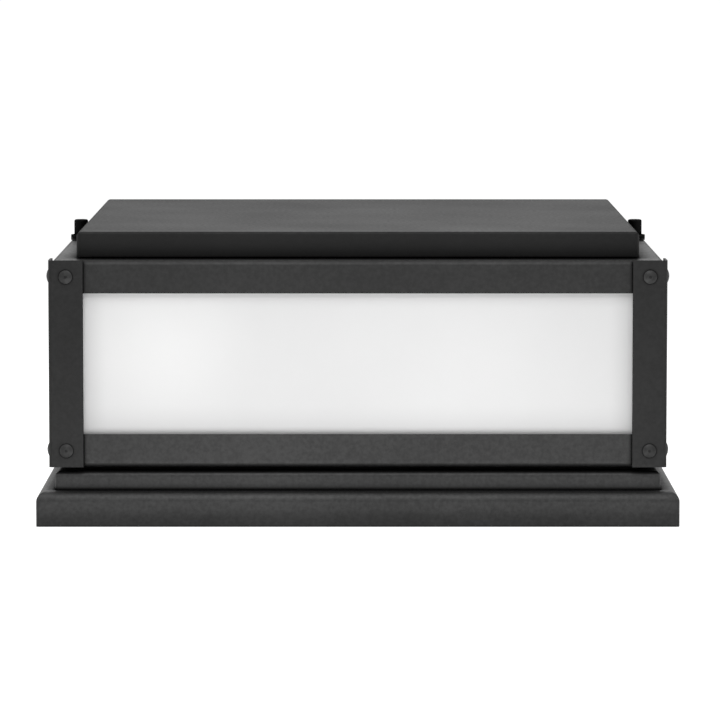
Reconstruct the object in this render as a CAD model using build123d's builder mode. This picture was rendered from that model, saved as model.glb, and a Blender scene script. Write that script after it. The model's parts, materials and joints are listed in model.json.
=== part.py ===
# Pier mount lantern: a square outdoor lantern of folded black sheet with opal panels on all sides.
# Millimetres, +Z up, origin at the centre of the base's underside, front towards -Y.
import os
from math import sqrt

from build123d import *

os.makedirs("parts", exist_ok=True)

# Folded sheet
sheet = 1.2  # wall of the pans and trays
corner_inside = 0.8  # inside radius of the upright corners
seat_gap = 0.1  # between bearing faces that come apart

# Body: two trays joined by corner angles
body_width = 392.0  # over the corner angles
body_height = 131.6
rail_depth = 21.0  # height of each tray's rail
tray_bend_inside = 2.3
angle_leg = 22.0
angle_wall = 1.6
angle_bend_inside = 0.6
angle_edge_round = 0.7  # on the free edges of the legs, at most
edge_round_limit = 0.45  # of the wall

# Base, plinth and the spacer in the shadow gap
base_overhang = 8.0  # base beyond the body, each side
base_height = 22.0
base_bend_inside = 5.3
plinth_inset = 3.5  # plinth inside the body, each side
plinth_height = 12.0
plinth_bend_inside = 2.3
shadow_gap = 3.0
spacer_inset = 14.0  # spacer inside the plinth, each side

# Cap and the service opening under it
cap_inset = 17.0  # cap inside the body, each side
cap_height = 16.0
cap_front_bend_inside = 0.3  # at the front and the rear
cap_side_bend_inside = 2.0
cap_corner_inside = 1.8
opening_inset = 31.0  # rain lip's outer face inside the body, each side
opening_corner_inside = 10.0
lip_height = 8.0
lug_wall = 1.0
lug_rise = 11.0

# Thumb screws that hold the cap down
knob_radius = 4.65
knob_height = 10.0
knob_round = 1.2
washer_radius = 6.9
washer_height = 2.6
washer_round = 0.5
washer_gap = 0.5  # washer's rim to the cap's side
screw_radius = 2.0
screw_clearance = 0.3
weld_nut_wall = 1.3
weld_nut_gap = 0.8  # below the weld nut, down to the panels
screw_tip_gap = 0.8  # screw's tip inside the weld nut's mouth

# Dome rivets at the corners
rivet_head_radius = 4.3
rivet_head_height = 1.7
rivet_rim = 0.5  # edge of the head, under the dome
rivet_undercut = 0.4  # edge of the head, drawn in at its seat
rivet_pin_radius = 0.9
rivet_pin_depth = 0.5
rivet_shank_radius = 2.0
rivet_hole_clearance = 0.1
rivet_tail_radius = 2.9
rivet_tail_gap = 0.3  # rivet's tail to the panel

# Opal panels and what holds them
panel_wall = 3.0
panel_edge_gap = 0.5
panel_head_room = 7.5  # from the top tray down to the panels
gasket_wall = 2.5
gasket_edge = 1.5  # gasket inside the rail's edge
gasket_rivet_gap = 0.8
gasket_corner_gap = 0.5
block_length = 24.0
block_height = 3.0
block_reach = 60.0  # blocks from the middle of a side
clip_wall = 1.0
clip_width = 16.0
clip_foot = 10.0
clip_rise = 15.0
clip_reach = 100.0  # clips from the middle of a side

# Mounting plate and its studs
plate_width = 180.0
plate_wall = 3.0
plate_corner = 10.0
plate_hole_radius = 25.0
anchor_edge = 20.0  # anchor holes from the plate's edges
anchor_radius = 4.5
stud_edge = 20.0
stud_count = 4
stud_radius = 3.0
stud_clearance = 0.5
stud_tail = 3.0  # stud beyond its nut
stud_washer_rim = 4.0
stud_washer_height = 1.6
stud_nut_wall = 2.0
stud_nut_height = 5.2
thread_gap = 0.15  # plain stand-in for a thread
nut_sides = 6
ground_screw_radius = 2.0
ground_flange_radius = 4.5
ground_flange_height = 0.8
ground_head_flat = 3.2  # from the screw's axis to a flat of its hex head
ground_head_height = 3.0
ground_slot_width = 0.9
ground_slot_depth = 1.1

# Central nipple and the lampholder cluster
nipple_radius = 8.55
nipple_wall = 2.3
nipple_clearance = 0.3
nipple_tail = 3.0  # nipple beyond its end nuts
locknut_wall = 3.45
locknut_height = 4.0
hub_width = 52.0
hub_height = 40.0
hub_wall = 1.5
hub_corner_inside = 4.5
hub_turn = 45  # the hub's faces look at the lantern's corners
cover_wall = 1.5
cover_lip_height = 4.0
cover_lip_wall = 1.2
cover_lip_gap = 0.2

# Lampholders and lamps
socket_length = 36.0
socket_bore_depth = 28.0
socket_wall = 2.9
socket_flange_rim = 1.5
socket_flange_height = 5.0
socket_stub_radius = 4.9
socket_stub_length = 6.0
socket_nut_wall = 2.1
socket_nut_height = 3.0
shell_wall = 0.4
shell_gap = 0.3
shell_length = 24.0
contact_radius = 4.0
contact_height = 1.0
lamp_gap = 0.4
lamp_cap_radius = 13.1
lamp_cap_shoulder = 1.2
lamp_tip_radius = 4.5
lamp_tip_height = 5.0
lamp_collar_rim = 0.9
lamp_housing_length = 32.6
lamp_housing_sag = 2.5
lamp_neck_radius = 26.0
lamp_length = 107.0

# Levels, from the ground up
plinth_floor = base_height
spacer_floor = plinth_floor + plinth_height
body_floor = spacer_floor + shadow_gap
body_top = body_floor + body_height
tray_floor = body_floor + sheet
tray_ceiling = body_top - sheet
lug_floor = body_top + seat_gap
cap_floor = lug_floor + lug_wall
washer_floor = cap_floor + seat_gap
knob_floor = washer_floor + washer_height + seat_gap
lamp_axis = (body_floor + body_top) / 2
hub_floor = lamp_axis - hub_height / 2

# Half widths, from the middle outwards
body_half = body_width / 2
tray_half = body_half - angle_wall
rail_half = tray_half - sheet
panel_half = rail_half - gasket_wall
cap_half = body_half - cap_inset
lip_half = body_half - opening_inset
screw_place = cap_half + washer_gap + washer_radius
stud_place = plate_width / 2 - stud_edge

# The rivets stand in the middle of a rail and of an angle's leg
rivet_spread = body_width - angle_leg
rivet_rise = body_height - rail_depth
rivet_grip = angle_wall + sheet
rivet_tail = gasket_wall - rivet_tail_gap


def folded_block(width, height, side_bend, front_bend, corner):
    # Square block with its top edges bent over and its upright corners rounded
    with BuildPart() as block:
        with BuildSketch():
            RectangleRounded(width, width, corner)
        extrude(amount=height)
        for view, bend in ((Plane.XZ, side_bend), (Plane.YZ, front_bend)):
            with BuildSketch(view) as profile:
                Rectangle(width, height, align=(Align.CENTER, Align.MIN))
                fillet(profile.vertices().group_by(Axis.Y)[-1], bend)
            extrude(amount=width, both=True, mode=Mode.INTERSECT)
    return block.part


def folded_pan(half, height, side_bend, front_bend, corner):
    # Pan of one folded sheet, closed on top and open underneath, from its inside radii
    outside = folded_block(2 * half, height, side_bend + sheet, front_bend + sheet, corner + sheet)
    inside = folded_block(2 * (half - sheet), height - sheet, side_bend, front_bend, corner)
    with BuildPart() as pan:
        add(outside)
        add(inside, mode=Mode.SUBTRACT)
    return pan.part


def side_plane(turn):
    # Plane on the body's outer face: X along the side, Y up, Z outwards
    outwards = Vector(0, -1, 0).rotate(Axis.Z, turn)
    along = Vector(1, 0, 0).rotate(Axis.Z, turn)
    return Plane(origin=outwards * body_half, x_dir=along, z_dir=outwards)


def corner_plane(turn):
    # Plane at the foot of a body corner, with X and Y along its two sides
    corner = Vector(-body_half, -body_half, body_floor).rotate(Axis.Z, turn)
    along = Vector(1, 0, 0).rotate(Axis.Z, turn)
    return Plane(origin=corner, x_dir=along, z_dir=(0, 0, 1))


def ring(outer, inner, height):
    with BuildPart() as piece:
        with BuildSketch():
            Circle(outer)
            Circle(inner, mode=Mode.SUBTRACT)
        extrude(amount=height)
    return piece.part


def hex_nut(bore, wall, height):
    with BuildPart() as nut:
        with BuildSketch():
            RegularPolygon(bore + wall, nut_sides, major_radius=False)
            Circle(bore, mode=Mode.SUBTRACT)
        extrude(amount=height)
    return nut.part


def turned(points):
    # Solid of revolution about X from an outline of (distance, radius) points
    with BuildPart() as piece:
        with BuildSketch():
            with BuildLine():
                Polyline(*points, close=True)
            make_face()
        revolve(axis=Axis.X)
    return piece.part


# Sides and corners, turned about +Z from the front side and the front left corner
side_turns = {"front": 0, "right": 90, "rear": 180, "left": 270}
corner_turns = {"front_left": 0, "front_right": 90, "rear_right": 180, "rear_left": 270}
front_left_bearing = 225  # from +X to the front left corner
sides = {name: side_plane(turn) for name, turn in side_turns.items()}
lamp_places = {
    name: Location((0, 0, lamp_axis), (0, 0, front_left_bearing + turn))
    for name, turn in corner_turns.items()
}

# Drills for the nipple and stud holes through the stacked floors, and for the rivet holes
fixing_drill_floor = base_height - 2 * sheet
with BuildPart() as fixing_drill:
    with BuildSketch(Plane.XY.offset(fixing_drill_floor)):
        Circle(nipple_radius + nipple_clearance)
        with PolarLocations(stud_place, stud_count):
            Circle(stud_radius + stud_clearance)
    extrude(amount=tray_floor + sheet - fixing_drill_floor)

with BuildPart() as rivet_drill:
    for side in sides.values():
        with BuildSketch(side):
            with Locations((0, lamp_axis)):
                with GridLocations(rivet_spread, rivet_rise, 2, 2):
                    Circle(rivet_shank_radius + rivet_hole_clearance)
        extrude(amount=2 * rivet_grip, both=True)

# Base pan
base_half = body_half + base_overhang
base_shell = folded_pan(base_half, base_height, base_bend_inside, base_bend_inside, corner_inside)
with BuildPart() as base_pan:
    add(base_shell)
    add(fixing_drill.part, mode=Mode.SUBTRACT)
base_pan.part.label = "base_pan"
export_step(base_pan.part, "parts/base_pan.step")

# Plinth pan
plinth_half = body_half - plinth_inset
plinth_shell = folded_pan(
    plinth_half,
    plinth_height,
    plinth_bend_inside,
    plinth_bend_inside,
    corner_inside,
)
with BuildPart() as plinth_pan:
    with Locations((0, 0, plinth_floor)):
        add(plinth_shell)
    add(fixing_drill.part, mode=Mode.SUBTRACT)
plinth_pan.part.label = "plinth_pan"
export_step(plinth_pan.part, "parts/plinth_pan.step")

# Spacer that makes the shadow gap
with BuildPart() as neck_spacer:
    with BuildSketch(Plane.XY.offset(spacer_floor)):
        Rectangle(2 * (plinth_half - spacer_inset), 2 * (plinth_half - spacer_inset))
    extrude(amount=shadow_gap)
    add(fixing_drill.part, mode=Mode.SUBTRACT)
neck_spacer.part.label = "neck_spacer"
export_step(neck_spacer.part, "parts/neck_spacer.step")

# Bottom tray, open upwards
tray_shell = folded_pan(tray_half, rail_depth, tray_bend_inside, tray_bend_inside, corner_inside)
with BuildPart() as bottom_tray:
    with Locations((0, 0, body_floor + rail_depth)):
        add(tray_shell, rotation=(180, 0, 0))
    add(fixing_drill.part, mode=Mode.SUBTRACT)
    add(rivet_drill.part, mode=Mode.SUBTRACT)
bottom_tray.part.label = "bottom_tray"
export_step(bottom_tray.part, "parts/bottom_tray.step")

# Top tray, with a service opening inside an upturned rain lip
with BuildPart() as top_tray:
    with Locations((0, 0, body_top - rail_depth)):
        add(tray_shell)
    with BuildSketch(Plane.XY.offset(tray_ceiling)):
        RectangleRounded(2 * lip_half, 2 * lip_half, opening_corner_inside + sheet)
    extrude(amount=sheet + lip_height)
    with BuildSketch(Plane.XY.offset(tray_ceiling)):
        RectangleRounded(2 * (lip_half - sheet), 2 * (lip_half - sheet), opening_corner_inside)
        with GridLocations(2 * screw_place, 0, 2, 1):
            Circle(screw_radius + screw_clearance)
    extrude(amount=sheet + lip_height, mode=Mode.SUBTRACT)
    add(rivet_drill.part, mode=Mode.SUBTRACT)
top_tray.part.label = "top_tray"
export_step(top_tray.part, "parts/top_tray.step")

# Corner angles, with rounded free edges
edge_round = min(angle_edge_round, edge_round_limit * angle_wall)
for name, turn in corner_turns.items():
    with BuildPart() as corner_angle:
        with BuildSketch(corner_plane(turn)) as profile:
            Rectangle(angle_leg, angle_leg, align=Align.MIN)
            fillet(profile.vertices().sort_by_distance((0, 0))[0], angle_bend_inside + angle_wall)
            with Locations((angle_wall, angle_wall)):
                Rectangle(angle_leg, angle_leg, align=Align.MIN, mode=Mode.SUBTRACT)
            inner_corner = profile.vertices().sort_by_distance((angle_wall, angle_wall))[0]
            fillet(inner_corner, angle_bend_inside)
            fillet(profile.vertices().sort_by_distance((0, 0))[-4:], edge_round)
        extrude(amount=body_height)
        add(rivet_drill.part, mode=Mode.SUBTRACT)
    corner_angle.part.label = f"corner_angle_{name}"
    export_step(corner_angle.part, f"parts/corner_angle_{name}.step")

# Blind rivets with a rimmed dome, a sunk pin and an upset tail
dome_rise = rivet_head_height - rivet_rim
dome_radius = (rivet_head_radius**2 + dome_rise**2) / (2 * dome_rise)
pin_level = sqrt(dome_radius**2 - rivet_pin_radius**2) - dome_radius + rivet_head_height
with BuildPart() as rivet:
    with BuildSketch(Plane.XZ):
        with BuildLine():
            dome = RadiusArc((rivet_pin_radius, pin_level), (rivet_head_radius, rivet_rim), dome_radius)
            Polyline(
                dome @ 1,
                (rivet_head_radius - rivet_undercut, 0),
                (rivet_shank_radius, 0),
                (rivet_shank_radius, -rivet_grip),
                (rivet_tail_radius, -rivet_grip),
                (rivet_tail_radius, -rivet_grip - rivet_tail),
                (0, -rivet_grip - rivet_tail),
                (0, pin_level - rivet_pin_depth),
                (rivet_pin_radius, pin_level - rivet_pin_depth),
                dome @ 0,
            )
        make_face()
    revolve(axis=Axis.Z)

with BuildPart() as corner_rivets:
    for side in sides.values():
        with Locations(side):
            with Locations((0, lamp_axis)):
                with GridLocations(rivet_spread, rivet_rise, 2, 2):
                    add(rivet.part)
corner_rivets.part.label = "corner_rivets"
export_step(corner_rivets.part, "parts/corner_rivets.step")

# Opal panels: the side panels stand between the front and rear ones
panel_foot = tray_floor + block_height
panel_head = tray_ceiling - panel_head_room
panel_depth = body_half - panel_half
panel_reaches = {
    "front": panel_half - panel_edge_gap,
    "rear": panel_half - panel_edge_gap,
    "left": panel_half - panel_wall - panel_edge_gap,
    "right": panel_half - panel_wall - panel_edge_gap,
}
for name, reach in panel_reaches.items():
    with BuildPart() as diffuser:
        with BuildSketch(sides[name].offset(-panel_depth)):
            with Locations((0, panel_foot)):
                Rectangle(2 * reach, panel_head - panel_foot, align=(Align.CENTER, Align.MIN))
        extrude(amount=-panel_wall)
    diffuser.part.label = f"diffuser_{name}"
    export_step(diffuser.part, f"parts/diffuser_{name}.step")

# Glazing gaskets between the rails and the panels, clear of the rivet tails
gasket_height = rail_depth / 2 - rivet_tail_radius - gasket_rivet_gap - gasket_edge
gasket_levels = {
    "lower": body_floor + rail_depth - gasket_edge - gasket_height,
    "upper": body_top - rail_depth + gasket_edge,
}
for name, level in gasket_levels.items():
    with BuildPart() as gasket:
        with BuildSketch(Plane.XY.offset(level)):
            RectangleRounded(2 * rail_half, 2 * rail_half, corner_inside + gasket_corner_gap)
            Rectangle(2 * panel_half, 2 * panel_half, mode=Mode.SUBTRACT)
        extrude(amount=gasket_height)
    gasket.part.label = f"glazing_gasket_{name}"
    export_step(gasket.part, f"parts/glazing_gasket_{name}.step")

# Setting blocks under the panels
with BuildPart() as setting_blocks:
    for side in sides.values():
        with BuildSketch(side.offset(-panel_depth)):
            with Locations((0, tray_floor)):
                with GridLocations(2 * block_reach, 0, 2, 1):
                    Rectangle(block_length, block_height, align=(Align.CENTER, Align.MIN))
        extrude(amount=-panel_wall)
setting_blocks.part.label = "setting_blocks"
export_step(setting_blocks.part, "parts/setting_blocks.step")

# Clips that hold the panels against the gaskets
with BuildPart() as clip:
    with BuildSketch(Plane.YZ):
        Rectangle(clip_rise, clip_wall, align=(Align.MIN, Align.MAX))
        Rectangle(clip_wall, clip_foot, align=(Align.MIN, Align.MAX))
    extrude(amount=clip_width / 2, both=True)

clip_turns = {"lower": (tray_floor, 0), "upper": (tray_ceiling, 180)}
for name, (level, turn) in clip_turns.items():
    with BuildPart() as panel_clips:
        for side in sides.values():
            with Locations(side.offset(-panel_depth - panel_wall)):
                with Locations((0, level)):
                    with GridLocations(2 * clip_reach, 0, 2, 1):
                        add(clip.part, rotation=(0, 0, turn))
    panel_clips.part.label = f"panel_clips_{name}"
    export_step(panel_clips.part, f"parts/panel_clips_{name}.step")

# Weld nuts under the top tray for the thumb screws
weld_nut_height = panel_head_room - weld_nut_gap
screw_hole = screw_radius + screw_clearance
weld_nut = ring(screw_hole + weld_nut_wall, screw_hole, weld_nut_height)
with BuildPart() as screw_weld_nuts:
    with Locations((0, 0, tray_ceiling - weld_nut_height)):
        with GridLocations(2 * screw_place, 0, 2, 1):
            add(weld_nut)
screw_weld_nuts.part.label = "screw_weld_nuts"
export_step(screw_weld_nuts.part, "parts/screw_weld_nuts.step")

# Mounting plate that is anchored to the pier
anchor_spread = plate_width - 2 * anchor_edge
ground_place = (plate_hole_radius + stud_place) / 2
with BuildPart() as mounting_plate:
    with BuildSketch():
        RectangleRounded(plate_width, plate_width, plate_corner)
        Circle(plate_hole_radius, mode=Mode.SUBTRACT)
        with GridLocations(anchor_spread, anchor_spread, 2, 2):
            Circle(anchor_radius, mode=Mode.SUBTRACT)
        with Locations((ground_place, 0)):
            Circle(ground_screw_radius + thread_gap, mode=Mode.SUBTRACT)
    extrude(amount=plate_wall)
mounting_plate.part.label = "mounting_plate"
export_step(mounting_plate.part, "parts/mounting_plate.step")

# Ground screw, with a flange and a slot in its hex head
with BuildPart() as ground_screw:
    with BuildSketch(Plane.XY.offset(plate_wall)):
        with Locations((ground_place, 0)):
            Circle(ground_screw_radius)
    extrude(amount=seat_gap - plate_wall)
    with BuildSketch(Plane.XY.offset(plate_wall)):
        with Locations((ground_place, 0)):
            Circle(ground_flange_radius)
    extrude(amount=ground_flange_height)
    with BuildSketch(Plane.XY.offset(plate_wall)):
        with Locations((ground_place, 0)):
            RegularPolygon(ground_head_flat, nut_sides, major_radius=False)
    extrude(amount=ground_head_height)
    with BuildSketch(Plane.XY.offset(plate_wall + ground_head_height)):
        with Locations((ground_place, 0)):
            Rectangle(2 * ground_flange_radius, ground_slot_width)
    extrude(amount=-ground_slot_depth, mode=Mode.SUBTRACT)
ground_screw.part.label = "ground_screw"
export_step(ground_screw.part, "parts/ground_screw.step")

# Studs on the plate, with washers and nuts inside the body
stud_washer_floor = tray_floor
stud_nut_floor = stud_washer_floor + stud_washer_height
stud_top = stud_nut_floor + stud_nut_height + stud_tail
with BuildPart() as mounting_studs:
    with BuildSketch(Plane.XY.offset(plate_wall)):
        with PolarLocations(stud_place, stud_count):
            Circle(stud_radius)
    extrude(amount=stud_top - plate_wall)
mounting_studs.part.label = "mounting_studs"
export_step(mounting_studs.part, "parts/mounting_studs.step")

stud_washer = ring(stud_radius + stud_washer_rim, stud_radius + 2 * thread_gap, stud_washer_height)
with BuildPart() as stud_washers:
    with Locations((0, 0, stud_washer_floor)):
        with PolarLocations(stud_place, stud_count):
            add(stud_washer)
stud_washers.part.label = "stud_washers"
export_step(stud_washers.part, "parts/stud_washers.step")

stud_nut = hex_nut(stud_radius + thread_gap, stud_nut_wall, stud_nut_height)
with BuildPart() as stud_nuts:
    with Locations((0, 0, stud_nut_floor)):
        with PolarLocations(stud_place, stud_count):
            add(stud_nut)
stud_nuts.part.label = "stud_nuts"
export_step(stud_nuts.part, "parts/stud_nuts.step")

# Central nipple: ties the base to the body, carries the cluster and lets the supply wires in
nipple_foot = base_height - sheet - locknut_height - nipple_tail
nipple_head = hub_floor + hub_wall + locknut_height + nipple_tail
nipple_tube = ring(nipple_radius, nipple_radius - nipple_wall, nipple_head - nipple_foot)
with BuildPart() as centre_nipple:
    with Locations((0, 0, nipple_foot)):
        add(nipple_tube)
centre_nipple.part.label = "centre_nipple"
export_step(centre_nipple.part, "parts/centre_nipple.step")

locknut = hex_nut(nipple_radius + thread_gap, locknut_wall, locknut_height)
locknut_levels = (
    base_height - sheet - locknut_height,
    tray_floor,
    hub_floor - locknut_height,
    hub_floor + hub_wall,
)
with BuildPart() as nipple_locknuts:
    for level in locknut_levels:
        with Locations((0, 0, level)):
            add(locknut)
nipple_locknuts.part.label = "nipple_locknuts"
export_step(nipple_locknuts.part, "parts/nipple_locknuts.step")

# Cluster body: a can with a lampholder on each of its four faces, turned to the lantern's corners
hub_half = hub_width / 2
hub_inside = hub_half - hub_wall
with BuildPart() as cluster_body:
    with BuildSketch(Plane.XY.offset(hub_floor)):
        RectangleRounded(hub_width, hub_width, hub_corner_inside + hub_wall, rotation=hub_turn)
    extrude(amount=hub_height)
    with BuildSketch(Plane.XY.offset(hub_floor + hub_wall)):
        RectangleRounded(2 * hub_inside, 2 * hub_inside, hub_corner_inside, rotation=hub_turn)
    extrude(amount=hub_height, mode=Mode.SUBTRACT)
    with BuildSketch(Plane.XY.offset(hub_floor)):
        Circle(nipple_radius + nipple_clearance)
    extrude(amount=hub_wall, mode=Mode.SUBTRACT)
    for place in lamp_places.values():
        with Locations(place):
            Cylinder(
                socket_stub_radius + nipple_clearance,
                hub_width,
                rotation=(0, 90, 0),
                align=(Align.CENTER, Align.CENTER, Align.MIN),
                mode=Mode.SUBTRACT,
            )
cluster_body.part.label = "cluster_body"
export_step(cluster_body.part, "parts/cluster_body.step")

# Cluster cover, with a lip inside the can
cover_floor = hub_floor + hub_height
lip_outside = hub_inside - cover_lip_gap
lip_inside = lip_outside - cover_lip_wall
with BuildPart() as cluster_cover:
    with BuildSketch(Plane.XY.offset(cover_floor)):
        RectangleRounded(hub_width, hub_width, hub_corner_inside + hub_wall, rotation=hub_turn)
    extrude(amount=cover_wall)
    with BuildSketch(Plane.XY.offset(cover_floor)):
        RectangleRounded(2 * lip_outside, 2 * lip_outside, hub_corner_inside, rotation=hub_turn)
        RectangleRounded(
            2 * lip_inside,
            2 * lip_inside,
            hub_corner_inside,
            rotation=hub_turn,
            mode=Mode.SUBTRACT,
        )
    extrude(amount=-cover_lip_height)
cluster_cover.part.label = "cluster_cover"
export_step(cluster_cover.part, "parts/cluster_cover.step")

# Lampholders, measured outwards from the lantern's axis
shell_inside = lamp_cap_radius + lamp_gap
shell_outside = shell_inside + shell_wall
bore_radius = shell_outside + shell_gap
socket_radius = bore_radius + socket_wall
flange_radius = socket_radius + socket_flange_rim
socket_mouth = hub_half + socket_length
bore_floor = socket_mouth - socket_bore_depth
socket = turned(
    [
        (hub_inside - socket_stub_length, 0),
        (hub_inside - socket_stub_length, socket_stub_radius),
        (hub_half, socket_stub_radius),
        (hub_half, flange_radius),
        (hub_half + socket_flange_height, flange_radius),
        (hub_half + socket_flange_height, socket_radius),
        (socket_mouth, socket_radius),
        (socket_mouth, bore_radius),
        (bore_floor, bore_radius),
        (bore_floor, 0),
    ]
)
with BuildPart() as lamp_sockets:
    with Locations(*lamp_places.values()):
        add(socket)
lamp_sockets.part.label = "lamp_sockets"
export_step(lamp_sockets.part, "parts/lamp_sockets.step")

socket_nut = hex_nut(socket_stub_radius + thread_gap, socket_nut_wall, socket_nut_height)
with BuildPart() as socket_nuts:
    with Locations(*lamp_places.values()):
        with Locations(Location((hub_inside - socket_nut_height, 0, 0), (0, 90, 0))):
            add(socket_nut)
socket_nuts.part.label = "socket_nuts"
export_step(socket_nuts.part, "parts/socket_nuts.step")

shell = turned(
    [
        (bore_floor, contact_radius + lamp_gap),
        (bore_floor, shell_outside),
        (bore_floor + shell_length, shell_outside),
        (bore_floor + shell_length, shell_inside),
        (bore_floor + shell_wall, shell_inside),
        (bore_floor + shell_wall, contact_radius + lamp_gap),
    ]
)
with BuildPart() as socket_shells:
    with Locations(*lamp_places.values()):
        add(shell)
socket_shells.part.label = "socket_shells"
export_step(socket_shells.part, "parts/socket_shells.step")

contact_face = bore_floor + contact_height
contact = turned(
    [
        (bore_floor, 0),
        (bore_floor, contact_radius),
        (contact_face, contact_radius),
        (contact_face, 0),
    ]
)
with BuildPart() as socket_contacts:
    with Locations(*lamp_places.values()):
        add(contact)
socket_contacts.part.label = "socket_contacts"
export_step(socket_contacts.part, "parts/socket_contacts.step")

# Lamps: a screw cap, a tapered housing and an opal globe
lamp_tip = contact_face + lamp_gap
lamp_collar = socket_mouth + lamp_gap
lamp_neck = lamp_collar + lamp_housing_length
lamp_crown = lamp_tip + lamp_length
cap_shoulder = lamp_cap_radius - lamp_cap_shoulder
screw_cap = turned(
    [
        (lamp_tip, 0),
        (lamp_tip, lamp_tip_radius),
        (lamp_tip + lamp_tip_height, cap_shoulder),
        (lamp_tip + lamp_tip_height + lamp_cap_shoulder, lamp_cap_radius),
        (lamp_collar, lamp_cap_radius),
        (lamp_collar, 0),
    ]
)

with BuildPart() as housing:
    with BuildSketch():
        with BuildLine():
            taper = SagittaArc(
                (lamp_collar, lamp_cap_radius + lamp_collar_rim),
                (lamp_neck, lamp_neck_radius),
                -lamp_housing_sag,
            )
            Polyline(taper @ 1, (lamp_neck, 0), (lamp_collar, 0), taper @ 0)
        make_face()
    revolve(axis=Axis.X)

# The globe's sphere passes through the neck's rim and the crown
globe_reach = lamp_crown - lamp_neck
globe_radius = (globe_reach**2 + lamp_neck_radius**2) / (2 * globe_reach)
with BuildPart() as globe:
    with BuildSketch():
        with BuildLine():
            dome = ThreePointArc(
                (lamp_neck, lamp_neck_radius),
                (lamp_crown - globe_radius, globe_radius),
                (lamp_crown, 0),
            )
            Polyline(dome @ 1, (lamp_neck, 0), dome @ 0)
        make_face()
    revolve(axis=Axis.X)

lamp_pieces = {"screw_cap": screw_cap, "housing": housing.part, "globe": globe.part}
for corner, place in lamp_places.items():
    for piece_name, piece in lamp_pieces.items():
        with BuildPart() as lamp_piece:
            with Locations(place):
                add(piece)
        lamp_piece.part.label = f"lamp_{piece_name}_{corner}"
        export_step(lamp_piece.part, f"parts/lamp_{piece_name}_{corner}.step")

# Cap pan, which lifts off
cap_shell = folded_pan(
    cap_half,
    cap_height,
    cap_side_bend_inside,
    cap_front_bend_inside,
    cap_corner_inside,
)
with BuildPart() as cap_pan:
    with Locations((0, 0, cap_floor)):
        add(cap_shell)
cap_pan.part.label = "cap_pan"
export_step(cap_pan.part, "parts/cap_pan.step")

# Lugs: welded inside the cap's sides, with a foot that passes under the side to the thumb screw
lug_back = cap_half - sheet - lug_wall
with BuildPart() as lug:
    with BuildSketch(Plane.XY.offset(lug_floor)):
        with Locations((screw_place, 0)):
            Circle(washer_radius)
        with Locations((lug_back, 0)):
            Rectangle(screw_place - lug_back, 2 * washer_radius, align=(Align.MIN, Align.CENTER))
        with Locations((screw_place, 0)):
            Circle(screw_hole, mode=Mode.SUBTRACT)
    extrude(amount=lug_wall)
    with BuildSketch(Plane.XY.offset(lug_floor)):
        with Locations((lug_back, 0)):
            Rectangle(lug_wall, 2 * washer_radius, align=(Align.MIN, Align.CENTER))
    extrude(amount=lug_rise)

with BuildPart() as cap_lugs:
    add(lug.part)
    add(lug.part, rotation=(0, 0, 180))
cap_lugs.part.label = "cap_lugs"
export_step(cap_lugs.part, "parts/cap_lugs.step")

# Thumb screws and their captive washers
screw_tip = tray_ceiling - weld_nut_height + screw_tip_gap
for name, place in (("left", -screw_place), ("right", screw_place)):
    with BuildPart() as thumb_washer:
        with Locations((place, 0, washer_floor)):
            add(ring(washer_radius, screw_hole, washer_height))
        rim = thumb_washer.faces().sort_by(Axis.Z)[-1].outer_wire()
        fillet(rim.edges(), washer_round)
    thumb_washer.part.label = f"thumb_washer_{name}"
    export_step(thumb_washer.part, f"parts/thumb_washer_{name}.step")

    with BuildPart() as thumb_screw:
        with BuildSketch(Plane.XY.offset(knob_floor)):
            with Locations((place, 0)):
                Circle(knob_radius)
        extrude(amount=knob_height)
        fillet(thumb_screw.faces().sort_by(Axis.Z)[-1].edges(), knob_round)
        with BuildSketch(Plane.XY.offset(knob_floor)):
            with Locations((place, 0)):
                Circle(screw_radius)
        extrude(amount=screw_tip - knob_floor)
    thumb_screw.part.label = f"thumb_screw_{name}"
    export_step(thumb_screw.part, f"parts/thumb_screw_{name}.step")
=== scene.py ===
# Looks of the pier mount lantern: finishes, screw threads, floor, light and camera.
import json
import math

import bmesh
import bpy
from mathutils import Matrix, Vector


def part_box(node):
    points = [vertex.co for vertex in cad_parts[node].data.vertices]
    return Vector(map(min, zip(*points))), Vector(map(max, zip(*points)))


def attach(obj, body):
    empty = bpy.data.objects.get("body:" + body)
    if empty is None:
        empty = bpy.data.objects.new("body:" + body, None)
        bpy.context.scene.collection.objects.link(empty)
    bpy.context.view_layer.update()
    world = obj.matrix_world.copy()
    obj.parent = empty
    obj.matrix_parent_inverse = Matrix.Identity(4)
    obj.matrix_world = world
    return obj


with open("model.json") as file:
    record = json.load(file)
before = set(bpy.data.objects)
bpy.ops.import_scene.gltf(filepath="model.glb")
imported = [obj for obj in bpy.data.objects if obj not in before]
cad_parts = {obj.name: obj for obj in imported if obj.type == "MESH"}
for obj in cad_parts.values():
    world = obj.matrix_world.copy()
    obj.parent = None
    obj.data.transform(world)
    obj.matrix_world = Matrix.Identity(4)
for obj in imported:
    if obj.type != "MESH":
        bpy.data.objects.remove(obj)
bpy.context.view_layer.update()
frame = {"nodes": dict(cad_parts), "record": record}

nodes = frame["nodes"]
scene = bpy.context.scene
print("frame loaded:", len(nodes), "nodes")


# small helpers for shader trees
def addNode(tree, kind, **settings):
    node = tree.nodes.new(kind)
    for name, value in settings.items():
        setattr(node, name, value)
    return node


def plug(tree, target, value):
    # a socket is linked, anything else is set as the default
    if isinstance(value, bpy.types.NodeSocket):
        tree.links.new(value, target)
    else:
        target.default_value = value


def calc(tree, operation, *values):
    node = addNode(tree, "ShaderNodeMath", operation=operation)
    for socket, value in zip(node.inputs, values):
        plug(tree, socket, value)
    return node.outputs["Value"]


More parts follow.
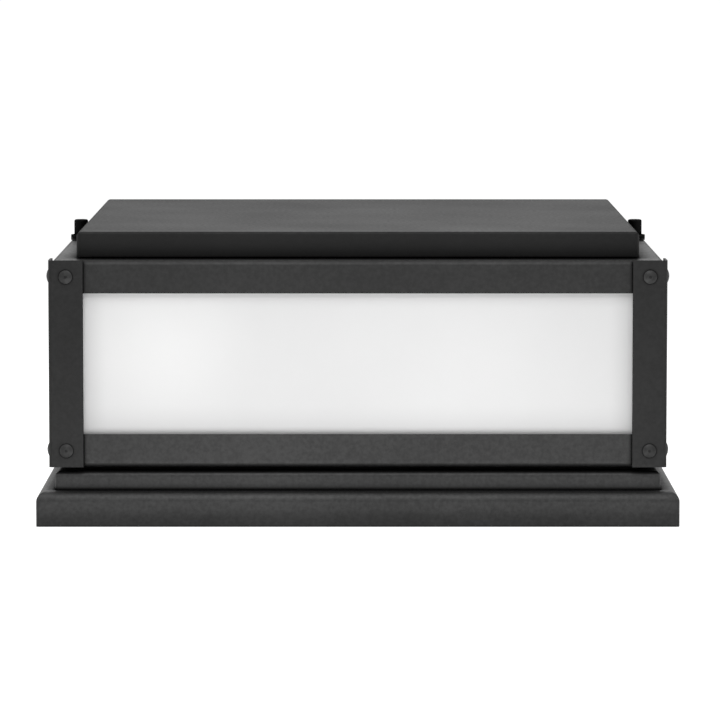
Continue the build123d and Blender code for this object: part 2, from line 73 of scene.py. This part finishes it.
def remap(tree, value, fromLow, fromHigh, toLow, toHigh, style="SMOOTHSTEP"):
    node = addNode(tree, "ShaderNodeMapRange", interpolation_type=style)
    for name, setting in (
        ("Value", value),
        ("From Min", fromLow),
        ("From Max", fromHigh),
        ("To Min", toLow),
        ("To Max", toHigh),
    ):
        plug(tree, node.inputs[name], setting)
    return node.outputs["Result"]


def blendColour(tree, factor, low, high):
    node = addNode(tree, "ShaderNodeMix", data_type="RGBA")
    plug(tree, node.inputs["Factor"], factor)
    plug(tree, node.inputs["A"], low)
    plug(tree, node.inputs["B"], high)
    return node.outputs["Result"]


def shares(tree, first, second):
    # two values, each with its share of the sum
    return calc(tree, "ADD", calc(tree, "MULTIPLY", *first), calc(tree, "MULTIPLY", *second))


def noise(tree, place, scale, detail=2.0, roughness=0.5):
    node = addNode(tree, "ShaderNodeTexNoise")
    plug(tree, node.inputs["Vector"], place)
    plug(tree, node.inputs["Scale"], scale)
    node.inputs["Detail"].default_value = detail
    node.inputs["Roughness"].default_value = roughness
    return node.outputs["Fac"]


def objectPlace(tree):
    return addNode(tree, "ShaderNodeTexCoord").outputs["Object"]


def grey(level):
    return (level, level, level, 1.0)


def newGroup(name, inputs, outputs):
    tree = bpy.data.node_groups.new(name, "ShaderNodeTree")
    for socketName, value in inputs.items():
        socket = tree.interface.new_socket(socketName, in_out="INPUT", socket_type="NodeSocketFloat")
        socket.default_value = value
    for socketName, kind in outputs.items():
        tree.interface.new_socket(socketName, in_out="OUTPUT", socket_type=kind)
    return tree, addNode(tree, "NodeGroupInput"), addNode(tree, "NodeGroupOutput")


def placeGroup(tree, group, **values):
    node = addNode(tree, "ShaderNodeGroup", node_tree=group)
    for name, value in values.items():
        node.inputs[name].default_value = value
    return node


# fine pebbled skin of a sprayed or moulded surface
grainShape = {
    "speckDetail": 3.0,
    "speckRough": 0.6,
    "pebbleScale": 0.6,  # against the specks
    "speckHeight": 0.6,
    "pebbleHeight": 0.4,
    "cloudScale": 11.0,
    "speckTone": 0.7,
    "cloudTone": 0.3,
    "toneLimits": (0.3, 0.7),
}


def makeFineGrain(shape):
    tree, given, made = newGroup(
        "fineGrain",
        {"Scale": 1400.0},
        {"Height": "NodeSocketFloat", "Tone": "NodeSocketFloat"},
    )
    place = objectPlace(tree)
    speck = noise(tree, place, given.outputs["Scale"], shape["speckDetail"], shape["speckRough"])
    pebble = addNode(tree, "ShaderNodeTexVoronoi", feature="SMOOTH_F1")
    plug(tree, pebble.inputs["Vector"], place)
    plug(tree, pebble.inputs["Scale"], calc(tree, "MULTIPLY", given.outputs["Scale"], shape["pebbleScale"]))
    dome = calc(tree, "SUBTRACT", 1.0, pebble.outputs["Distance"])
    height = shares(tree, (speck, shape["speckHeight"]), (dome, shape["pebbleHeight"]))
    plug(tree, made.inputs["Height"], height)
    cloud = noise(tree, place, shape["cloudScale"])
    tone = shares(tree, (speck, shape["speckTone"]), (cloud, shape["cloudTone"]))
    plug(tree, made.inputs["Tone"], remap(tree, tone, *shape["toneLimits"], 0.0, 1.0))
    return tree


# rounded light on sharp edges, and a lighter edge colour that is partly wear where hands and cloths polish
# them and partly a painted highlight
wearAndSheenShape = {
    "samples": 6,
    "facingLimits": (0.995, 0.8),  # from flat to fully on the edge
    "patchScale": 160.0,
    "patchLimits": (0.35, 0.65),
    "patchLeast": 0.4,
}


def makeEdgeWearAndSheen(shape):
    tree, given, made = newGroup(
        "edgeWearAndSheen",
        {"Radius": 0.0003},
        {"Mask": "NodeSocketFloat", "Normal": "NodeSocketVector"},
    )
    bevel = addNode(tree, "ShaderNodeBevel", samples=shape["samples"])
    plug(tree, bevel.inputs["Radius"], given.outputs["Radius"])
    geometry = addNode(tree, "ShaderNodeNewGeometry")
    facing = addNode(tree, "ShaderNodeVectorMath", operation="DOT_PRODUCT")
    plug(tree, facing.inputs[0], bevel.outputs["Normal"])
    plug(tree, facing.inputs[1], geometry.outputs["Normal"])
    rim = remap(tree, facing.outputs["Value"], *shape["facingLimits"], 0.0, 1.0)
    cloud = noise(tree, objectPlace(tree), shape["patchScale"])
    patches = remap(tree, cloud, *shape["patchLimits"], shape["patchLeast"], 1.0)
    plug(tree, made.inputs["Mask"], calc(tree, "MULTIPLY", rim, patches))
    plug(tree, made.inputs["Normal"], bevel.outputs["Normal"])
    return tree


# slow cloudy change over a hand's breadth, for gloss that isn't perfectly even
patchShape = {"detail": 3.0, "limits": (0.3, 0.7)}


def makeSoftPatches(shape):
    tree, given, made = newGroup("softPatches", {"Scale": 14.0}, {"Amount": "NodeSocketFloat"})
    cloud = noise(tree, objectPlace(tree), given.outputs["Scale"], shape["detail"])
    plug(tree, made.inputs["Amount"], remap(tree, cloud, *shape["limits"], 0.0, 1.0))
    return tree


# plated crystals
def makeSpangle():
    tree, given, made = newGroup("spangle", {"Scale": 260.0}, {"Amount": "NodeSocketFloat"})
    cells = addNode(tree, "ShaderNodeTexVoronoi", feature="F1")
    plug(tree, cells.inputs["Vector"], objectPlace(tree))
    plug(tree, cells.inputs["Scale"], given.outputs["Scale"])
    split = addNode(tree, "ShaderNodeSeparateColor")
    plug(tree, split.inputs["Color"], cells.outputs["Color"])
    plug(tree, made.inputs["Amount"], split.outputs["Red"])
    return tree


# painted shade in inside corners and seams: the gloss skin is taken off where other faces are near
cornerShadeShape = {
    "samples": 8,
    "open": 0.98,  # openness at which no corner is near
    "floorShare": 0.2,  # what is kept at the floor, which is no seam
}


def makePaintedCornerShade(shape):
    tree, given, made = newGroup(
        "paintedCornerShade",
        {"Reach": 0.006, "Full": 0.5},  # how far a corner counts, and the openness at which it is fully dull
        {"Mask": "NodeSocketFloat"},
    )
    closeness = addNode(tree, "ShaderNodeAmbientOcclusion", samples=shape["samples"])
    plug(tree, closeness.inputs["Distance"], given.outputs["Reach"])
    openness = closeness.outputs["AO"]
    shadeAmount = remap(tree, openness, given.outputs["Full"], shape["open"], 1.0, 0.0, "LINEAR")
    place = addNode(tree, "ShaderNodeSeparateXYZ")
    plug(tree, place.inputs["Vector"], objectPlace(tree))
    aboveFloor = remap(tree, place.outputs["Z"], 0.0, given.outputs["Reach"], shape["floorShare"], 1.0)
    plug(tree, made.inputs["Mask"], calc(tree, "MULTIPLY", shadeAmount, aboveFloor))
    return tree


fineGrain = makeFineGrain(grainShape)
edgeWearAndSheen = makeEdgeWearAndSheen(wearAndSheenShape)
softPatches = makeSoftPatches(patchShape)
spangle = makeSpangle()
paintedCornerShade = makePaintedCornerShade(cornerShadeShape)
print("shared effects ready:", len(bpy.data.node_groups), "groups")


# a material with its Principled shader, and the sockets that stay constant set on it
def newFinish(name, **constants):
    material = bpy.data.materials.new(name)
    material.use_nodes = True
    tree = material.node_tree
    tree.nodes.clear()
    output = addNode(tree, "ShaderNodeOutputMaterial")
    shader = addNode(tree, "ShaderNodeBsdfPrincipled")
    tree.links.new(shader.outputs["BSDF"], output.inputs["Surface"])
    for socketName, value in constants.items():
        shader.inputs[socketName].default_value = value
    return material, tree, shader


def reliefNormal(tree, height, distance, strength, under=None):
    bump = addNode(tree, "ShaderNodeBump")
    bump.inputs["Distance"].default_value = distance
    bump.inputs["Strength"].default_value = strength
    plug(tree, bump.inputs["Height"], height)
    if under is not None:
        plug(tree, bump.inputs["Normal"], under)
    return bump.outputs["Normal"]


# black powder coat on the folded metal: all the gloss is in a clear skin over a matt pigment; its weight is
# set for each piece as painted shade, lower on pieces that the light reaches less, and each dull value is
# the share that a mask takes off, the corner and seam masks being painted shade
blackPowderLook = {
    "skin": 0.92,
    "skinRough": 0.46,
    "skinBend": 1.6,  # index of refraction
    "dark": 0.004,
    "light": 0.012,
    "wornAndSheenEdge": 0.025,
    "rough": 0.6,
    "patchScale": 9.0,
    "patchDull": 0.08,
    "grainScale": 420.0,
    "grainDepth": 0.0002,
    "grainStrength": 0.9,
    "speckDull": 0.42,
    "edgeRadius": 0.00035,
    "wearAndSheenShare": 0.5,
    # painted shade: the corner and seam masks take the gloss skin off where other faces are near
    "cornerShadeReach": 0.012,
    "cornerShadeDull": 0.85,
    "seamShadeReach": 0.0024,  # the narrow dark line beside an overlap
    "seamShadeFull": 0.68,
    "seamShadeDull": 0.95,
}
# copies with less gloss or other corner shade: painted shade for pieces that the light reaches less
topShadedPowderLook = dict(blackPowderLook, skin=0.76)
angleShadedPowderLook = dict(blackPowderLook, skin=0.58)
rivetShadedPowderLook = dict(blackPowderLook, skin=0.80, cornerShadeDull=0.4, seamShadeDull=0.1)
capShadedPowderLook = dict(blackPowderLook, skin=0.42, cornerShadeDull=0.65)
bottomShadedPowderLook = dict(blackPowderLook, cornerShadeReach=0.006, cornerShadeDull=0.6)
plinthShadedPowderLook = dict(blackPowderLook, skin=0.88, cornerShadeReach=0.005, cornerShadeDull=0.6)
knobPowderLook = dict(blackPowderLook, skin=0.10, dark=0.001, light=0.003, wornAndSheenEdge=0.008)


def makeBlackPowder(name, look):
    material, tree, shader = newFinish(name, **{
        "Specular IOR Level": 0.0,
        "Roughness": look["rough"],
        "Coat Roughness": look["skinRough"],
        "Coat IOR": look["skinBend"],
    })
    grain = placeGroup(tree, fineGrain, Scale=look["grainScale"])
    wearAndSheen = placeGroup(tree, edgeWearAndSheen, Radius=look["edgeRadius"])
    patches = placeGroup(tree, softPatches, Scale=look["patchScale"])
    # painted shade in inside corners and along seams
    cornerShade = placeGroup(tree, paintedCornerShade, Reach=look["cornerShadeReach"])
    seamShade = placeGroup(tree, paintedCornerShade, Reach=look["seamShadeReach"], Full=look["seamShadeFull"])
    coat = blendColour(tree, grain.outputs["Tone"], grey(look["dark"]), grey(look["light"]))
    # lighter edges: partly wear, partly a painted highlight
    wornAndSheenEdge = calc(tree, "MULTIPLY", wearAndSheen.outputs["Mask"], look["wearAndSheenShare"])
    plug(tree, shader.inputs["Base Color"], blendColour(tree, wornAndSheenEdge, coat, grey(look["wornAndSheenEdge"])))
    skin = look["skin"]
    for mask, dull in (
        (grain.outputs["Tone"], look["speckDull"]),
        (patches.outputs["Amount"], look["patchDull"]),
        (cornerShade.outputs["Mask"], look["cornerShadeDull"]),
        (seamShade.outputs["Mask"], look["seamShadeDull"]),
    ):
        kept = calc(tree, "SUBTRACT", 1.0, calc(tree, "MULTIPLY", mask, dull))
        skin = calc(tree, "MULTIPLY", skin, kept)
    plug(tree, shader.inputs["Coat Weight"], skin)
    normal = reliefNormal(
        tree, grain.outputs["Height"], look["grainDepth"], look["grainStrength"], wearAndSheen.outputs["Normal"]
    )
    plug(tree, shader.inputs["Normal"], normal)
    return material


# opal sheet: bright in the open window, with painted shade where the frame shades it, and a faint painted
# glow where the lamps behind it would shine
opalLook = {
    "specular": 0.5,
    "bend": 1.49,
    "white": 0.86,
    "mottle": 0.04,
    "mottleScale": 7.0,
    "sideShade": (0.12, 0.016),  # share and reach in from the corner angles
    "footShade": (0.10, 0.020),
    "headShade": (0.02, 0.012),
    "paintedGlow": 0.09,
    "paintedGlowTint": (1.0, 0.99, 0.97, 1.0),
    "paintedGlowSpots": ((-0.126, 0.1146, 0.070, 1.0), (0.083, 0.0890, 0.070, 0.28)),  # along, up, reach, share
    "rough": (0.30, 0.40),
    "grainScale": 900.0,
    "grainDepth": 0.00002,
    "grainStrength": 0.15,
}


def makeOpalAcrylic(look):
    material, tree, shader = newFinish(
        "opalAcrylic",
        **{"Specular IOR Level": look["specular"], "IOR": look["bend"], "Emission Strength": 1.0},
    )
    windowHalf = -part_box("corner_angle_front_left")[1][0]
    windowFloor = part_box("bottom_tray")[1][2]
    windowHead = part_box("top_tray")[0][2]
    place = addNode(tree, "ShaderNodeSeparateXYZ")
    plug(tree, place.inputs["Vector"], objectPlace(tree))
    sideways = calc(tree, "ABSOLUTE", place.outputs["X"])
    forwards = calc(tree, "ABSOLUTE", place.outputs["Y"])
    fromMiddle = calc(tree, "MINIMUM", sideways, forwards)
    fromSide = calc(tree, "SUBTRACT", windowHalf, fromMiddle)
    fromFloor = calc(tree, "SUBTRACT", place.outputs["Z"], windowFloor)
    fromHead = calc(tree, "SUBTRACT", windowHead, place.outputs["Z"])
    patches = placeGroup(tree, softPatches, Scale=look["mottleScale"])
    openness = remap(tree, patches.outputs["Amount"], 0.0, 1.0, 1.0 - look["mottle"], 1.0, "LINEAR")
    # each border's painted shade darkens the sheet by itself, and they multiply in the corners
    for gap, border in ((fromSide, "sideShade"), (fromFloor, "footShade"), (fromHead, "headShade")):
        share, reach = look[border]
        openness = calc(tree, "MULTIPLY", openness, remap(tree, gap, 0.0, reach, 1.0 - share, 1.0))
    plug(tree, shader.inputs["Base Color"], blendColour(tree, openness, grey(0.0), grey(look["white"])))

    # painted glow: the sheet itself gives off soft light where the lamps behind it would shine
    isFront = calc(tree, "GREATER_THAN", forwards, sideways)  # or rear
    isSide = calc(tree, "SUBTRACT", 1.0, isFront)
    along = shares(tree, (isFront, place.outputs["X"]), (isSide, place.outputs["Y"]))
    paintedGlow = 0.0
    for spotAlong, spotUp, reach, share in look["paintedGlowSpots"]:
        across = calc(tree, "POWER", calc(tree, "SUBTRACT", along, spotAlong), 2.0)
        upwards = calc(tree, "POWER", calc(tree, "SUBTRACT", place.outputs["Z"], spotUp), 2.0)
        distance = calc(tree, "SQRT", calc(tree, "ADD", across, upwards))
        paintedGlow = calc(tree, "ADD", paintedGlow, remap(tree, distance, 0.0, reach, share * look["paintedGlow"], 0.0))
    paintedGlow = calc(tree, "MULTIPLY", paintedGlow, openness)
    plug(tree, shader.inputs["Emission Color"], blendColour(tree, paintedGlow, grey(0.0), look["paintedGlowTint"]))

    grain = placeGroup(tree, fineGrain, Scale=look["grainScale"])
    rough = remap(tree, grain.outputs["Tone"], 0.0, 1.0, *look["rough"], "LINEAR")
    plug(tree, shader.inputs["Roughness"], rough)
    relief = reliefNormal(tree, grain.outputs["Height"], look["grainDepth"], look["grainStrength"])
    plug(tree, shader.inputs["Normal"], relief)
    return material


# a grained finish without plating: rubber, mouldings, glaze
grainedLook = {"edgeRadius": 0.0003, "patchScale": 30.0, "grainStrength": 0.3}
blackRubberLook = dict(
    grainedLook, dark=grey(0.003), light=grey(0.007), rough=(0.65, 0.8), grainScale=900.0, grainDepth=0.0001,
    constants={"Specular IOR Level": 0.15},
)
porcelainLook = dict(
    grainedLook, dark=(0.76, 0.74, 0.69, 1.0), light=(0.84, 0.83, 0.79, 1.0), rough=(0.24, 0.34),
    grainScale=300.0, grainDepth=0.00004, constants={"Coat Weight": 0.6, "Coat Roughness": 0.08},
)
lampOpalLook = dict(
    grainedLook, dark=(0.84, 0.83, 0.80, 1.0), light=(0.90, 0.89, 0.86, 1.0), rough=(0.34, 0.46),
    grainScale=1200.0, grainDepth=0.00003, constants={"Subsurface Weight": 0.15},
)
lampPlasticLook = dict(
    grainedLook, dark=grey(0.76), light=grey(0.82), rough=(0.36, 0.48),
    grainScale=1600.0, grainDepth=0.00005, constants={},
)


def makeGrained(name, look):
    material, tree, shader = newFinish(name, **look["constants"])
    grain = placeGroup(tree, fineGrain, Scale=look["grainScale"])
    wearAndSheen = placeGroup(tree, edgeWearAndSheen, Radius=look["edgeRadius"])
    patches = placeGroup(tree, softPatches, Scale=look["patchScale"])
    colour = blendColour(tree, grain.outputs["Tone"], look["dark"], look["light"])
    plug(tree, shader.inputs["Base Color"], colour)
    rough = remap(tree, patches.outputs["Amount"], 0.0, 1.0, *look["rough"], "LINEAR")
    plug(tree, shader.inputs["Roughness"], rough)
    relief = reliefNormal(
        tree, grain.outputs["Height"], look["grainDepth"], look["grainStrength"], wearAndSheen.outputs["Normal"]
    )
    plug(tree, shader.inputs["Normal"], relief)
    return material


# plated or bare metal with crystals and polished edges
platedLook = {
    "edgeRadius": 0.00025,
    "patchScale": 40.0,
    "crystalTone": 0.5,
    "patchTone": 0.5,
    "grainScale": 2200.0,
    "grainDepth": 0.00001,
    "grainStrength": 0.2,
}
zincSteelLook = dict(
    platedLook, dark=(0.50, 0.51, 0.53, 1.0), light=(0.70, 0.71, 0.72, 1.0), wornAndSheenEdge=(0.82, 0.83, 0.84, 1.0),
    rough=(0.26, 0.42), crystalScale=260.0,
)
greenScrewLook = dict(
    platedLook, dark=(0.02, 0.22, 0.06, 1.0), light=(0.04, 0.36, 0.11, 1.0), wornAndSheenEdge=(0.16, 0.50, 0.22, 1.0),
    rough=(0.28, 0.40), crystalScale=400.0,
)
turnedBrassLook = dict(
    platedLook, dark=(0.56, 0.38, 0.14, 1.0), light=(0.74, 0.54, 0.25, 1.0), wornAndSheenEdge=(0.86, 0.68, 0.36, 1.0),
    rough=(0.22, 0.36), crystalScale=500.0,
)
nickelBrightLook = dict(
    platedLook, dark=(0.58, 0.57, 0.55, 1.0), light=(0.74, 0.73, 0.71, 1.0), wornAndSheenEdge=(0.85, 0.84, 0.82, 1.0),
    rough=(0.18, 0.30), crystalScale=600.0,
)


def makePlated(name, look):
    material, tree, shader = newFinish(name, Metallic=1.0)
    crystals = placeGroup(tree, spangle, Scale=look["crystalScale"])
    patches = placeGroup(tree, softPatches, Scale=look["patchScale"])
    wearAndSheen = placeGroup(tree, edgeWearAndSheen, Radius=look["edgeRadius"])
    grain = placeGroup(tree, fineGrain, Scale=look["grainScale"])
    tone = shares(
        tree,
        (crystals.outputs["Amount"], look["crystalTone"]),
        (patches.outputs["Amount"], look["patchTone"]),
    )
    plating = blendColour(tree, tone, look["dark"], look["light"])
    # lighter edge colour: partly wear, partly a painted highlight
    plug(tree, shader.inputs["Base Color"], blendColour(tree, wearAndSheen.outputs["Mask"], plating, look["wornAndSheenEdge"]))
    plug(tree, shader.inputs["Roughness"], remap(tree, tone, 0.0, 1.0, *look["rough"], "LINEAR"))
    relief = reliefNormal(
        tree, grain.outputs["Height"], look["grainDepth"], look["grainStrength"], wearAndSheen.outputs["Normal"]
    )
    plug(tree, shader.inputs["Normal"], relief)
    return material


# one finish for each slot of the record, and own finishes for single nodes
finishes = {
    "black_powder": makeBlackPowder("blackPowder", blackPowderLook),
    "opal_acrylic": makeOpalAcrylic(opalLook),
    "black_rubber": makeGrained("blackRubber", blackRubberLook),
    "zinc_steel": makePlated("zincSteel", zincSteelLook),
    "green_screw": makePlated("greenScrew", greenScrewLook),
    "brass": makePlated("turnedBrass", turnedBrassLook),
    "white_porcelain": makeGrained("whitePorcelain", porcelainLook),
    "lamp_opal": makeGrained("lampOpal", lampOpalLook),
    "lamp_plastic": makeGrained("lampPlastic", lampPlasticLook),
    "lamp_metal": makePlated("nickelBright", nickelBrightLook),
}

# the shaded powder copies are painted shade for pieces that the light reaches less
ownFinishes = {
    "cap_pan": makeBlackPowder("capShadedPowder", capShadedPowderLook),
    "top_tray": makeBlackPowder("topShadedPowder", topShadedPowderLook),
    "bottom_tray": makeBlackPowder("bottomShadedPowder", bottomShadedPowderLook),
    "plinth_pan": makeBlackPowder("plinthShadedPowder", plinthShadedPowderLook),
    "corner_rivets": makeBlackPowder("rivetShadedPowder", rivetShadedPowderLook),
}
knobPowder = makeBlackPowder("knobPowder", knobPowderLook)
for hand in ("left", "right"):
    ownFinishes[f"thumb_screw_{hand}"] = knobPowder
    ownFinishes[f"thumb_washer_{hand}"] = knobPowder
angleShadedPowder = makeBlackPowder("angleShadedPowder", angleShadedPowderLook)
for corner in ("front_left", "front_right", "rear_left", "rear_right"):
    ownFinishes[f"corner_angle_{corner}"] = angleShadedPowder
slotOfNode = {row["node"]: row["material_slot"] for row in frame["record"]["subparts"]}
for nodeName, node in nodes.items():
    finish = ownFinishes.get(nodeName, finishes[slotOfNode[nodeName]])
    for holder in node.material_slots:
        holder.material = finish
print("finishes placed on", len(slotOfNode), "nodes")


# raised helix round an upright screw, from root to crest and back
ridgeShare = {"crest": 0.5, "head": 0.9}  # of the pitch, up from the ridge's foot


def threadRidge(name, body, slot, axis, foot, head, thread):
    root = thread["root"]
    pitch = thread["pitch"]
    stepsPerTurn = thread["stepsPerTurn"]
    turns = (head - foot - pitch) / pitch
    stepCount = int(turns * stepsPerTurn)
    mesh = bpy.data.meshes.new(name)
    build = bmesh.new()
    rows = []
    for step in range(stepCount + 1):
        angle = 2 * math.pi * step / stepsPerTurn
        level = foot + pitch * step / stepsPerTurn
        fade = min(1.0, step / stepsPerTurn, (stepCount - step) / stepsPerTurn)  # runs out over a turn
        out = root + (thread["crest"] - root) * fade
        section = (
            (root, level),
            (out, level + pitch * ridgeShare["crest"]),
            (root, level + pitch * ridgeShare["head"]),
        )
        rows.append([
            build.verts.new((axis[0] + radius * math.cos(angle), axis[1] + radius * math.sin(angle), up))
            for radius, up in section
        ])
    for here, there in zip(rows, rows[1:]):
        for low, high in ((0, 1), (1, 2), (2, 0)):
            build.faces.new((here[low], there[low], there[high], here[high]))
    build.faces.new(rows[0])
    build.faces.new(rows[-1][::-1])
    bmesh.ops.recalc_face_normals(build, faces=build.faces)
    build.to_mesh(mesh)
    build.free()
    ridge = bpy.data.objects.new(name, mesh)
    scene.collection.objects.link(ridge)
    mesh.materials.append(finishes[slot])
    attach(ridge, body)


thumbThread = {"root": 0.00198, "crest": 0.00218, "pitch": 0.0007, "stepsPerTurn": 20, "tipGap": 0.0003}
for hand in ("left", "right"):
    low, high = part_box(f"thumb_screw_{hand}")
    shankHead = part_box(f"thumb_washer_{hand}")[0][2]
    axis = ((low[0] + high[0]) / 2, (low[1] + high[1]) / 2)
    threadRidge(
        f"thumb_thread_{hand}", f"screw_{hand}", "black_powder", axis,
        low[2] + thumbThread["tipGap"], shankHead, thumbThread,
    )

studThread = {"root": 0.00298, "crest": 0.00312, "pitch": 0.001, "stepsPerTurn": 24, "gap": 0.0005}
studCircle = {"count": 4, "studRadius": 0.003}
studLow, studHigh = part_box("mounting_studs")
circleRadius = studHigh[0] - studCircle["studRadius"]
for index in range(studCircle["count"]):
    bearing = index * 2 * math.pi / studCircle["count"]
    axis = (circleRadius * math.cos(bearing), circleRadius * math.sin(bearing))
    threadRidge(
        f"stud_thread_{index + 1}", "frame", "zinc_steel", axis,
        studLow[2] + studThread["gap"], studHigh[2] - studThread["gap"], studThread,
    )

nippleThread = {"root": 0.00852, "crest": 0.00866, "pitch": 0.00094, "stepsPerTurn": 40, "gap": 0.0005}
nippleLow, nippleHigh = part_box("centre_nipple")
threadRidge(
    "nipple_thread", "frame", "brass", (0.0, 0.0),
    nippleLow[2] + nippleThread["gap"], nippleHigh[2] - nippleThread["gap"], nippleThread,
)
print("threads cut")


# rays that see the plain white room: from the camera, off gloss and through glass
def seesRoom(tree):
    path = addNode(tree, "ShaderNodeLightPath")
    seen = calc(tree, "MAXIMUM", path.outputs["Is Camera Ray"], path.outputs["Is Glossy Ray"])
    return calc(tree, "MAXIMUM", seen, path.outputs["Is Transmission Ray"])


# plain pale floor, white to the camera and grey where the lantern shades it
floorLook = {
    "reach": 60.0,
    "cells": 8,
    "drop": 0.0004,  # under the base, so that their faces don't coincide
    "bounce": 0.80,
    "white": 0.88,
    "shadowShare": 0.48,
}


def makeFloor(look):
    material = bpy.data.materials.new("paleFloor")
    material.use_nodes = True
    tree = material.node_tree
    tree.nodes.clear()
    output = addNode(tree, "ShaderNodeOutputMaterial")
    bounce = addNode(tree, "ShaderNodeBsdfDiffuse")
    bounce.inputs["Color"].default_value = grey(look["bounce"])
    shadowed = addNode(tree, "ShaderNodeBsdfDiffuse")
    shadowed.inputs["Color"].default_value = grey(look["shadowShare"])
    white = addNode(tree, "ShaderNodeEmission")
    white.inputs["Color"].default_value = grey(1.0)
    white.inputs["Strength"].default_value = look["white"]
    together = addNode(tree, "ShaderNodeAddShader")
    tree.links.new(white.outputs["Emission"], together.inputs[0])
    tree.links.new(shadowed.outputs["BSDF"], together.inputs[1])
    choice = addNode(tree, "ShaderNodeMixShader")
    plug(tree, choice.inputs["Fac"], seesRoom(tree))
    tree.links.new(bounce.outputs["BSDF"], choice.inputs[1])
    tree.links.new(together.outputs["Shader"], choice.inputs[2])
    tree.links.new(choice.outputs["Shader"], output.inputs["Surface"])

    mesh = bpy.data.meshes.new("floor")
    build = bmesh.new()
    bmesh.ops.create_grid(build, x_segments=look["cells"], y_segments=look["cells"], size=look["reach"])
    build.to_mesh(mesh)
    build.free()
    mesh.materials.append(material)
    floor = bpy.data.objects.new("floor", mesh)
    floor.location.z = -look["drop"]
    scene.collection.objects.link(floor)


makeFloor(floorLook)

roomLook = {"white": 1.0, "ambient": 0.31}


def makeRoom(look):
    world = bpy.data.worlds.new("whiteRoom")
    world.use_nodes = True
    tree = world.node_tree
    tree.nodes.clear()
    output = addNode(tree, "ShaderNodeOutputWorld")
    light = addNode(tree, "ShaderNodeBackground")
    light.inputs["Color"].default_value = grey(1.0)
    light.inputs["Strength"].default_value = look["ambient"]
    seen = addNode(tree, "ShaderNodeBackground")
    seen.inputs["Color"].default_value = grey(1.0)
    seen.inputs["Strength"].default_value = look["white"]
    choice = addNode(tree, "ShaderNodeMixShader")
    plug(tree, choice.inputs["Fac"], seesRoom(tree))
    tree.links.new(light.outputs["Background"], choice.inputs[1])
    tree.links.new(seen.outputs["Background"], choice.inputs[2])
    tree.links.new(choice.outputs["Shader"], output.inputs["Surface"])
    scene.world = world


makeRoom(roomLook)

# a soft box above each side, and a bright card lying on the floor in front
lookedAt = (0.0, 0.0, 0.09)
softBoxes = {
    "frontBox": {"place": (-0.02, -0.75, 0.85), "aim": lookedAt, "size": (0.7, 0.7), "power": 3.3},
    "rearBox": {"place": (0.0, 0.75, 0.85), "aim": lookedAt, "size": (0.7, 0.7), "power": 3.6},
    "leftBox": {"place": (-0.90, 0.06, 0.70), "aim": lookedAt, "size": (0.6, 0.6), "power": 4.2},
    "rightBox": {"place": (0.90, 0.06, 0.70), "aim": lookedAt, "size": (0.6, 0.6), "power": 4.2},
    "floorCard": {
        "place": (0.0, -0.42, 0.004),
        "aim": (0.0, -0.42, 1.0),
        "size": (0.44, 0.36),
        "power": 0.56,
    },
}
for name, box in softBoxes.items():
    light = bpy.data.lights.new(name, "AREA")
    light.shape = "RECTANGLE"
    light.size, light.size_y = box["size"]
    light.energy = box["power"]
    lamp = bpy.data.objects.new(name, light)
    lamp.location = box["place"]
    lamp.rotation_euler = (Vector(box["aim"]) - lamp.location).to_track_quat("-Z", "Y").to_euler()
    lamp.visible_camera = False
    scene.collection.objects.link(lamp)
print("room, floor and soft boxes set")

# the photo's viewpoint, fitted to the lantern's edges
cameraView = {
    "lens": 234.186,
    "sensor": 36.0,
    "farEnd": 200.0,
    "place": (0.00136, -3.1502, 0.3789),
    "pitchDown": 5.2886,
}
camera = bpy.data.objects.new("photoCamera", bpy.data.cameras.new("photoCamera"))
camera.data.lens = cameraView["lens"]
camera.data.sensor_width = cameraView["sensor"]
camera.data.clip_end = cameraView["farEnd"]
camera.location = cameraView["place"]
camera.rotation_euler = (math.radians(90.0 - cameraView["pitchDown"]), 0.0, 0.0)
scene.collection.objects.link(camera)
scene.camera = camera
scene.view_settings.view_transform = "Standard"
